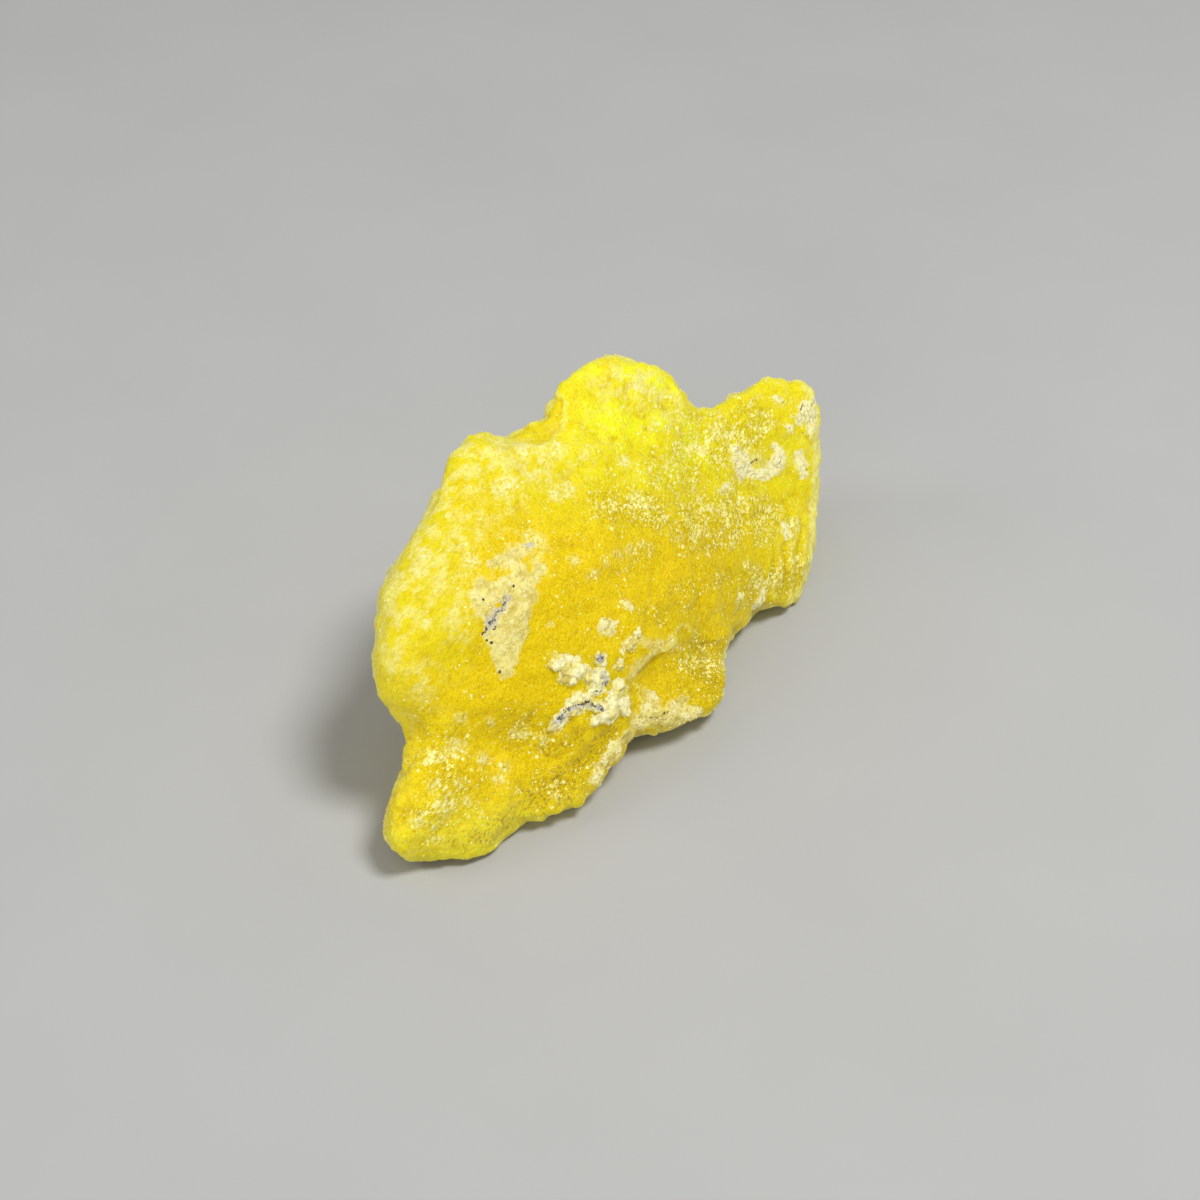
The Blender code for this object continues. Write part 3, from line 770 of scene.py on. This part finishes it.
# The tints: red, green, blue and alpha, in linear light.
finish = {
    "golden": (0.86, 0.635, 0.002, 1),
    # painted shade
    "shadedGold": (0.73, 0.535, 0.001, 1),
    "lemon": (0.88, 0.76, 0.010, 1),
    # painted highlight of the crown
    "crownHighlight": (0.99, 0.95, 0.02, 1),
    # painted glints and painted glow
    "glint": (0.99, 0.84, 0.04, 1),
    "milk": (0.96, 0.89, 0.30, 1),
    "grain": (0.99, 0.93, 0.36, 1),
    # the broken end's pale band, also used for painted rim light and highlights
    "edge": (0.92, 0.85, 0.25, 1),
    "depth": (0.80, 0.75, 0.30, 1),  # laid over a colour to darken it with painted shade
    # painted shade in grooves and on the ledge, and the stone's darker olive
    "oliveAndShade": (0.47, 0.39, 0.005, 1),
    # the crust's own khaki, also laid between its knobs as painted shade
    "khaki": (0.66, 0.54, 0.12, 1),
    # painted shade in crevices and wrinkles
    "creviceShade": (0.36, 0.26, 0.04, 1),
    "crust": (0.92, 0.82, 0.28, 1),
    "white": (0.97, 0.91, 0.50, 1),
    "lavender": (0.55, 0.53, 0.50, 1),
    "slate": (0.13, 0.14, 0.19, 1),
    "soot": (0.070, 0.052, 0.038, 1),
    "floor": (0.44, 0.44, 0.43, 1),
    "floorLight": (0.48, 0.48, 0.47, 1),
}

# Cloud patterns of the lump's material. Sizes are in mm, and those with "drawn" run along the stone's slant.
patterns = {
    "broad": {"size": 3.5, "detail": 3.0, "rough": 0.6},
    "fine": {"size": 0.36, "detail": 3.0, "rough": 0.6},
    "rough": {"size": 0.29, "detail": 2.5, "rough": 0.62, "drawn": 0.55},
    "wisps": {"size": 1.3, "detail": 5.0, "rough": 0.72, "drawn": 0.7},
    "pepper": {"size": 0.19, "detail": 2.0, "rough": 0.6},
    "wrinkles": {"size": 0.26, "detail": 3.0, "rough": 0.7, "drawn": 0.6},
    "clusters": {"size": 1.5, "detail": 4.0, "rough": 0.62, "drawn": 0.5},
    "border": {"size": 0.5, "detail": 5.0, "rough": 0.75},
    "mottles": {"size": 0.8, "detail": 5.0, "rough": 0.7},
    "dull": {"size": 1.1, "detail": 4.0, "rough": 0.65, "drawn": 0.6},
    "haze": {"size": 0.35, "detail": 3.0, "rough": 0.7},
    "smudges": {"size": 0.55, "detail": 2.0, "rough": 0.6},
}
cellSizes = {"grit": 0.40, "crevices": 0.38, "flecks": 0.45}  # mm

# What is the same all over the clear stone, and all over the crust and flecks.
stoneSockets = {
    "Roughness": 0.33,
    "Subsurface Weight": 0.7,
    "Subsurface Radius": (1.0, 0.75, 0.06),
    "Subsurface Scale": 2.0 * mm,
    "Specular IOR Level": 0.08,
    "IOR": 1.57,
    "Sheen Weight": 0.18,
    "Sheen Roughness": 0.35,
    "Sheen Tint": (1.0, 0.95, 0.55, 1),
}
crustSockets = {
    "Specular IOR Level": 0.3,
    "Subsurface Weight": 0.15,
    "Subsurface Radius": (1.0, 0.8, 0.4),
    "Subsurface Scale": 0.2 * mm,
}
reliefDepths = {"stone": 0.2 * mm, "crust": 0.15 * mm}  # how deep the finest relief is shaded

# The plainer materials: two tints mixed by a cloud, between two of its values where "fade" names them.
grainLook = {
    "cloud": (0.9, 3.0, 0.6),  # its size, mm, detail and roughness
    "fade": (0.35, 0.62),
    "sockets": {"Roughness": 0.25, "Specular IOR Level": 0.45},
}
plainPaints = {
    "paleGrain": {"tints": ("lemon", "grain"), **grainLook},
    "crustGrain": {"tints": ("crust", "white"), **grainLook},
    "darkCrumb": {
        "tints": ("soot", "slate"),
        "cloud": (0.5, 2.0, 0.5),
        "fade": (0.50, 0.66),
        "sockets": {"Roughness": 0.6},
    },
    "paleFloor": {
        "tints": ("floor", "floorLight"),
        "cloud": (25.0, 3.0, 0.5),
        "sockets": {"Roughness": 0.8},
    },
}


class LumpPaint(Paint):  # the lump's paint, with a wire for each of its layers and patterns
    def __init__(self):
        super().__init__("yellowBrucite")
        self.place = self.places()
        slanting = self.alongFace(self.place, slant)
        self.layers = {name: self.field(name) for name in layerNames}
        self.patterns = {}
        for name, said in patterns.items():
            place = self.stretched(slanting, (said["drawn"], 1.0, 1.0)) if "drawn" in said else self.place
            self.patterns[name] = self.cloud(place, said["size"], said["detail"], said["rough"])
        self.grit = 1 - self.cells(self.place, cellSizes["grit"])


def stoneColour(paint):  # darker with painted shade in its hollows, creases, trough and pits, milky in its clouds, paler with painted rim light at its edges, and with a painted highlight, glow and glints
    layer, pattern = paint.layers, paint.patterns
    dense, lemony, crownLit, blotch, groove = map(layer.get, ("grain", "lemon", "crownHighlight", "blotch", "groove"))
    broad, rough, wisps, pepper = map(pattern.get, ("broad", "rough", "wisps", "pepper"))
    # painted shade in the trough and set-back facets
    colour = paint.mix(layer["deep"] * broad.between(0.3, 0.7), finish["golden"], finish["shadedGold"])
    # paler lemon, partly painted light
    colour = paint.mix((lemony + 0.5 * (broad - 0.5)) * lemony.between(0.0, 0.3), colour, finish["lemon"])
    # painted highlight over the crown
    colour = paint.mix(crownLit * broad.between(0.38, 0.62), colour, finish["crownHighlight"])
    # painted glow where thin parts are lit through
    colour = paint.mix(layer["paintedGlow"] * broad.between(0.25, 0.55) * 0.8, colour, finish["glint"])
    # painted shade low between the knobs
    colour = paint.mix(layer["crest"].between(0.42, 0.15) * 0.5, colour, finish["shadedGold"])
    milk = layer["cloud"] * wisps.between(0.44, 0.58) + 0.28 * lemony * wisps.between(0.51, 0.62)
    milk = milk.atLeast(blotch * (0.35 + 0.65 * rough.between(0.40, 0.58))).atMost(1.0)
    colour = paint.mix(milk * 0.8, colour, finish["milk"])
    colour = paint.mix(blotch.between(0.3, 1.0) * rough.between(0.46, 0.60) * 0.7, colour, finish["white"])
    # painted shade in the columns' grooves, with the olive layer
    dim = (groove.between(0.2, -0.9) * 0.6).atLeast(layer["oliveAndShade"] * (0.15 + 0.25 * broad))
    colour = paint.mix(dim, colour, finish["oliveAndShade"])
    # painted highlight along the columns' ridges
    colour = paint.mix(groove.between(0.3, 0.9) * rough.between(0.35, 0.6) * 0.7, colour, finish["edge"])
    # painted rim light on edges and painted highlight on set-back brinks, with the broken end's own pale band
    rimLightAndBevel = (layer["edge"] * (0.5 + 0.45 * rough.between(0.4, 0.6))).atMost(0.95)
    colour = paint.mix(rimLightAndBevel, colour, finish["edge"])
    shaded = dense * (1 - 0.7 * crownLit)
    colour = paint.mix(0.25 * shaded, colour, finish["depth"], "MULTIPLY")
    # painted shade in the fine relief's hollows, where the bump is low
    hollows = rough.between(0.49, 0.38) * (0.45 + 0.45 * shaded)
    colour = paint.mix(hollows, colour, finish["depth"], "MULTIPLY")
    # painted pits of shade and painted glints in a fine pepper
    peppered = (0.75 - 0.55 * lemony + 0.3 * dense).atLeast(0.15)
    colour = paint.mix(pepper.between(0.48, 0.34) * peppered, colour, finish["depth"], "MULTIPLY")
    colour = paint.mix(pepper.between(0.54, 0.68) * peppered * 0.6, colour, finish["glint"])
    # painted shade in the wrinkles of the pits
    wrinkled = pattern["wrinkles"].between(0.49, 0.38) * layer["pitted"] * 0.75
    return paint.mix(wrinkled, colour, finish["creviceShade"])


def stoneBump(paint):  # fine grain, rougher where pale grains gather and wrinkled in the pits
    layer, pattern = paint.layers, paint.patterns
    height = 0.5 * pattern["fine"] + (0.7 + 0.8 * layer["grain"]) * pattern["rough"] + 0.3 * paint.grit
    return paint.bump(height + 2 * layer["pitted"] * pattern["wrinkles"], reliefDepths["stone"])


def fleckShare(paint):  # ragged pale flecks over the clear stone, thick where grains gather
    crowd = 0.45 * (paint.patterns["clusters"] - 0.5) + 0.12 * (paint.layers["grain"] - 0.75)
    flecks = (paint.patterns["rough"] + crowd).between(0.60, 0.64)
    return flecks.atLeast(paint.specks(paint.place, cellSizes["flecks"], 2.4 * crowd - 0.55, 1.2))


def crustColour(paint):  # khaki between its knobs and cream on them as painted shade and light, dark crevices as painted shade, with its own khaki patches and blue-grey stains
    layer, pattern = paint.layers, paint.patterns
    pale, stained = layer["pale"], layer["stain"]
    # random mottling, lit cream on the knobs and khaki between them as painted light and shade
    mottleAndKnobShade = 0.5 * pattern["mottles"] + 0.3 * layer["crest"]
    mottleAndKnobShade = mottleAndKnobShade + 0.35 * (pattern["rough"] - 0.5) + 0.25 * (pale - 0.4)
    colour = paint.mix(mottleAndKnobShade.between(0.18, 0.40), finish["khaki"], finish["crust"])
    colour = paint.mix(pattern["dull"].between(0.47, 0.60) * (1 - pale), colour, finish["khaki"])
    colour = paint.mix((mottleAndKnobShade + 0.3 * (pale - 0.5)).between(0.34, 0.54), colour, finish["white"])
    # painted shade in the crust's crevices
    cells = paint.cells(paint.place, cellSizes["crevices"])
    crevices = (cells + 0.4 * (pattern["wrinkles"] - 0.5)).between(0.48, 0.74)
    colour = paint.mix(crevices * (0.27 + 0.33 * layer["rind"]), colour, finish["creviceShade"])
    hazy = (stained + (pattern["haze"] - 0.5) * 1.6).between(0.3, 1.0)
    colour = paint.mix(hazy * 0.8, colour, finish["lavender"])
    smudged = stained * pattern["smudges"].between(0.52, 0.62)
    return paint.mix(smudged * 0.75, colour, finish["slate"])


def brucitePaint():  # clear stone, with one shader more over it for its crust and flecks
    paint = LumpPaint()
    paint.dress({"Base Color": stoneColour(paint), "Normal": stoneBump(paint), **stoneSockets})
    pattern = paint.patterns
    crusted = (paint.layers["crust"] + (pattern["border"] - 0.5) * 1.6).between(-0.12, 0.20)
    height = 0.5 * pattern["fine"] + 0.8 * pattern["rough"] + 0.3 * paint.grit
    overlay = paint.node("ShaderNodeBsdfPrincipled", {}, {
        "Base Color": paint.mix(crusted, finish["grain"], crustColour(paint)),
        "Normal": paint.bump(height, reliefDepths["crust"]),
        "Roughness": 0.32 + 0.4 * crusted,
        **crustSockets,
    })
    share = (crusted * paint.layers["cover"]).atLeast(0.9 * fleckShare(paint))
    stone = Wire(paint, paint.shader.outputs[0])
    both = paint.node("ShaderNodeMixShader", {}, {0: share, 1: stone, 2: overlay})
    paint.join(both, paint.tree.nodes["Material Output"].inputs["Surface"])
    return paint.material


def plainPaint(name):
    said = plainPaints[name]
    paint = Paint(name)
    tone = paint.cloud(paint.places(), *said["cloud"])
    if "fade" in said:
        tone = tone.between(*said["fade"])
    first, second = said["tints"]
    paint.dress({"Base Color": paint.mix(tone, finish[first], finish[second]), **said["sockets"]})
    return paint.material


farOut = 60  # mm from the face's centre, clear of the lump
turns = (0, 6)  # radians that a ball may be turned


def stand(tree, u, v):  # where a line straight in through the face meets the lump, and which way it looks
    return tree.ray_cast(faceCentre + right * u + up * v + out * farOut, -out)[:2]


def addBall(bm, place, normal, sizes, turn, fineness):  # a squashed ball that stands on the surface
    squash = Matrix.Diagonal((*sizes, 1))
    matrix = Matrix.Translation(place) @ normal.to_track_quat("Z", "Y").to_matrix().to_4x4()
    matrix = matrix @ Matrix.Rotation(turn, 4, "Z") @ squash
    bmesh.ops.create_icosphere(bm, subdivisions=fineness, radius=1, matrix=matrix)


def alongStroke(stroke, share):  # a point (right, up, half width) some share of the way along
    steps = list(zip(stroke, stroke[1:])) or [(stroke[0], stroke[0])]
    at = min(len(steps) - 1e-6, share * len(steps))  # a share of 1 still lies on the last step
    first, second = steps[int(at)]
    return [a + (at - int(at)) * (b - a) for a, b in zip(first, second)]


# Rounded nodules of the heap (right, up, radius), mm; smaller ones are strewn between them.
nodules = {
    "balls": (
        (-3.6, -4.7, 0.9), (-2.9, -4.5, 0.7), (-4.0, -5.0, 0.6), (-3.0, -5.4, 0.8), (-2.3, -5.6, 0.8),
        (-2.6, -6.3, 0.5), (-1.6, -5.4, 0.7), (-1.0, -6.0, 0.7), (-0.4, -6.3, 0.7), (0.1, -5.9, 0.5),
        (0.0, -6.8, 0.5), (1.8, -6.9, 0.6), (1.4, -7.8, 0.7), (1.2, -8.6, 0.8), (1.0, -9.4, 0.8),
        (0.2, -9.8, 0.7), (-0.5, -10.2, 0.5), (1.9, -8.5, 0.5), (2.2, -9.2, 0.5), (1.8, -5.2, 0.4),
        (-0.3, -4.6, 0.3), (0.3, -4.3, 0.3), (0.4, -4.8, 0.3), (-3.9, -10.1, 0.5), (-4.3, -10.6, 0.35),
        (-2.9, -8.7, 0.4), (-1.9, -8.2, 0.4), (-0.9, -8.0, 0.4), (-3.2, -9.5, 0.3),
    ),
    "small": (0.16, 0.38),  # the range of their radii
    "strewn": 190,
    "shape": (0.85, 0.75, 0.6),  # of their radius, along, across and up
    "sunk": 0.05,
    "voxel": 0.1,
    "softening": 1,
    "fineness": 2,
    "grit": 0.1,
    "gritSize": 0.3,
    "dusk": 0.6,  # how much duller some parts are, and the parts' size
    "duskSize": 1.3,
    "seed": 11,
}


def makeNodules(tree, material):
    draw = random.Random(nodules["seed"])
    bm = bmesh.new()
    balls = list(nodules["balls"])
    strokes = crust["heap"]["strokes"]
    for number in range(nodules["strewn"]):
        u, v, width = alongStroke(strokes[number % len(strokes)], draw.random())
        u, v = u + draw.uniform(-1, 1) * width, v + draw.uniform(-1, 1) * width
        balls.append((u, v, draw.uniform(*nodules["small"])))
    for u, v, radius in balls:
        place, normal = stand(tree, u, v)
        if place:
            sizes = [share * radius for share in nodules["shape"]]
            base = place - normal * nodules["sunk"] * radius
            addBall(bm, base, normal, sizes, draw.uniform(*turns), nodules["fineness"])
    bm = remeshed(bm, nodules["voxel"], nodules["softening"])
    layers = newLayers(bm, ("crust", "pale", "cover", "stain", "crest"))
    stainPatch = Patch(stain["haze"], stain["reach"])
    for vert in bm.verts:
        place = vert.co
        grit = knobbly(place, nodules["gritSize"])
        stands = tree.find_nearest(place)[3] or 0.0  # how high above the lump
        dusk = nodules["dusk"] * rise(-0.1, 0.3, noise.noise(place / nodules["duskSize"]))
        vert[layers["crust"]] = 1
        vert[layers["cover"]] = 1
        vert[layers["pale"]] = crust["heap"]["pale"] - dusk
        # low on the nodules, by the lump, the crust paints shade
        vert[layers["crest"]] = 0.6 * rise(0.05, 0.5, stands) + 0.4 * grit
        vert[layers["stain"]] = rise(-0.3, 0.1, stainPatch.depth(*onFace(place)))
        vert.co += vert.normal * nodules["grit"] * (grit - 0.5)
    bmesh.ops.triangulate(bm, faces=bm.faces)
    print("nodules:", len(bm.faces), "faces")
    noduleTree = BVHTree.FromBMesh(bm)
    piece = finishedPiece("crustNodules", bm, material)
    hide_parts("brucite")
    return noduleTree


# Dark crumbs caught in the crust.
crumbs = {
    "each": 28,  # crumbs to each mm of a stain's line
    "small": (0.03, 0.10),
    "shape": (1.0, 0.8, 0.5),
    "stray": 0.5,  # of the line's half width
    "fineness": 1,
    "seed": 5,
}


def makeCrumbs(tree, noduleTree):
    draw = random.Random(crumbs["seed"])
    bm = bmesh.new()
    spots = list(stain["dots"])
    for stroke in stain["lines"]:
        length = sum(math.dist(first[:2], second[:2]) for first, second in zip(stroke, stroke[1:]))
        for number in range(int(crumbs["each"] * length)):
            u, v, width = alongStroke(stroke, draw.random())
            size = draw.uniform(*crumbs["small"])
            u, v = u + draw.gauss(0, crumbs["stray"]) * width, v + draw.gauss(0, crumbs["stray"]) * width
            spots.append((u, v, size))
    for u, v, radius in spots:
        place, normal = stand(noduleTree, u, v)
        if not place:
            place, normal = stand(tree, u, v)
        if place:
            sizes = [share * radius for share in crumbs["shape"]]
            addBall(bm, place, normal, sizes, draw.uniform(*turns), crumbs["fineness"])
    print("crumbs:", len(bm.faces), "faces")
    piece = finishedPiece("darkCrumbs", bm, plainPaint("darkCrumb"))
    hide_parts("brucite")


def poured(batch, grown):  # the batch's balls moved over to the grown mesh, and a new empty batch
    mesh = bpy.data.meshes.new("batch")
    batch.to_mesh(mesh)
    batch.free()
    grown.from_mesh(mesh)
    bpy.data.meshes.remove(mesh)
    return bmesh.new()


# Joined meshes of single grains, strewn where one of the lump's layers says, in clumps.
grainSets = {
    "paleGrains": {
        "layer": "grain",
        "everywhere": 0.04,  # the chance of a grain where the layer says none
        "number": 5600,
        "radius": (0.05, 0.14),
        "long": 1.7,
        "slant": slant,
        "stray": 30,  # degrees that they lie off their slant
        "seed": 3,
    },
    "crustGrains": {
        "layer": "rind",
        "everywhere": 0.0,
        "number": 3600,
        "radius": (0.05, 0.13),
        "long": 1.1,
        "slant": 0,
        "stray": 90,
        "seed": 4,
    },
}
grainSpread = {
    "above": 0.5,  # mm over the ground
    "clumpSize": 1.1,
    "broadSize": 4,
    "clump": (-0.1, 0.5),  # the patterns' values between which the clumps thicken
    "least": 0.02,  # no grains where their share is below this
    "small": 2.5,  # higher leaves more small ones
    "wide": (0.6, 1.0),  # of the radius
    "thick": (0.35, 0.8),
    "tilt": 0.5,
    "fineness": 1,
    "batch": 60,  # small batches keep the adding quick
}


def grainFaces(bm, layer, everywhere):  # the faces of the lump that grains may stand on
    corners = ((found, found.verts[0]) for found in bm.faces)
    return [found for found, corner in corners
            if corner[layer] + everywhere > grainSpread["least"] and corner.co.z > grainSpread["above"]]


def makeGrains(name, bm, material):
    said = grainSets[name]
    draw = random.Random(said["seed"])
    layer = bm.verts.layers.float[said["layer"]]
    faces = grainFaces(bm, layer, said["everywhere"])
    low, high = said["radius"]
    grown = bmesh.new()
    batch = bmesh.new()
    made = 0
    while made < said["number"]:
        found = draw.choice(faces)
        corners = found.verts
        place = corners[0].co.lerp(corners[1].co, draw.random()).lerp(corners[2].co, 0.8 * draw.random())
        gathered = noise.fractal(place / grainSpread["clumpSize"], 0.8, 2.0, 3)
        gathered += 0.5 * noise.noise(place / grainSpread["broadSize"])
        chance = rise(*grainSpread["clump"], gathered) * (said["everywhere"] + corners[0][layer])
        if draw.random() > chance:
            continue
        radius = low + (high - low) * draw.random() ** grainSpread["small"]
        wide, thick = draw.uniform(*grainSpread["wide"]), draw.uniform(*grainSpread["thick"])
        sizes = (said["long"] * radius, wide * radius, thick * radius)
        tilt = grainSpread["tilt"] * Vector([draw.uniform(-1, 1) for axis in range(3)])
        lean = (found.normal + tilt).normalized()
        turn = math.radians(draw.gauss(said["slant"], said["stray"]))
        addBall(batch, place, lean, sizes, turn, grainSpread["fineness"])
        made += 1
        if made % grainSpread["batch"] == 0:
            batch = poured(batch, grown)
    poured(batch, grown)
    print(name + ":", len(grown.faces), "faces")
    piece = finishedPiece(name, grown, material)
    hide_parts("brucite")


def makeBody():
    bm = softCopy()
    tree = shapeBody(bm)
    bmesh.ops.triangulate(bm, faces=bm.faces)
    print("lump:", len(bm.faces), "faces")
    stone = brucitePaint()
    makeCrumbs(tree, makeNodules(tree, stone))
    makeGrains("paleGrains", bm, plainPaint("paleGrain"))
    makeGrains("crustGrains", bm, plainPaint("crustGrain"))
    lump = finishedPiece("bruciteLump", bm, stone)
    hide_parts("brucite")


# Sizes and places of the studio are in metres, from the lump's middle.
studio = {
    "floorSize": 3.0,
    "world": 0.35,  # how bright the light from all round is
    "key": {"at": (0.10, -0.24, 0.60), "size": 0.20, "watts": 2.95},
    "back": {"at": (-0.34, 0.26, 0.34), "size": 0.25, "watts": 0.45},
    "side": {"at": (-0.52, -0.22, 0.10), "size": 0.3, "watts": 0.85},
}

camera = {
    "distance": 215,  # mm from the face's centre
    "shiftUp": 0.96,  # mm that it looks above the centre
    "fieldOfView": 30,  # degrees, for a square picture
    "clipStart": 0.01,  # metres
}


def makeFloor():
    bm = bmesh.new()
    bmesh.ops.create_grid(bm, x_segments=1, y_segments=1, size=studio["floorSize"] / 2)
    mesh = bpy.data.meshes.new("floor")
    bm.to_mesh(mesh)
    bm.free()
    mesh.materials.append(plainPaint("paleFloor"))
    floor = bpy.data.objects.new("floor", mesh)
    bpy.context.scene.collection.objects.link(floor)


def makeLight(name):
    said = studio[name]
    lamp = bpy.data.lights.new(name, "AREA")
    lamp.shape = "DISK"
    lamp.size = said["size"]
    lamp.energy = said["watts"]
    light = bpy.data.objects.new(name, lamp)
    light.location = said["at"]
    light.rotation_euler = (-Vector(said["at"])).to_track_quat("-Z", "Y").to_euler()
    bpy.context.scene.collection.objects.link(light)


def makeWorld():
    world = bpy.data.worlds.new("studio")
    world.use_nodes = True
    background = world.node_tree.nodes["Background"]
    background.inputs["Color"].default_value = (1, 1, 1, 1)
    background.inputs["Strength"].default_value = studio["world"]
    bpy.context.scene.world = world
    bpy.context.scene.view_settings.view_transform = "Standard"


def makeCamera():
    lens = bpy.data.cameras.new("camera")
    lens.angle = math.radians(camera["fieldOfView"])
    lens.clip_start = camera["clipStart"]
    eye = bpy.data.objects.new("camera", lens)
    at = faceCentre + up * camera["shiftUp"] + out * camera["distance"]
    eye.location = at * mm
    eye.rotation_euler = (math.radians(90 - face["rise"]), 0, math.radians(face["turn"]))
    bpy.context.scene.collection.objects.link(eye)
    bpy.context.scene.camera = eye


makeBody()
makeFloor()
for name in ("key", "back", "side"):
    makeLight(name)
makeWorld()
makeCamera()
print("studio: floor, lights and camera")
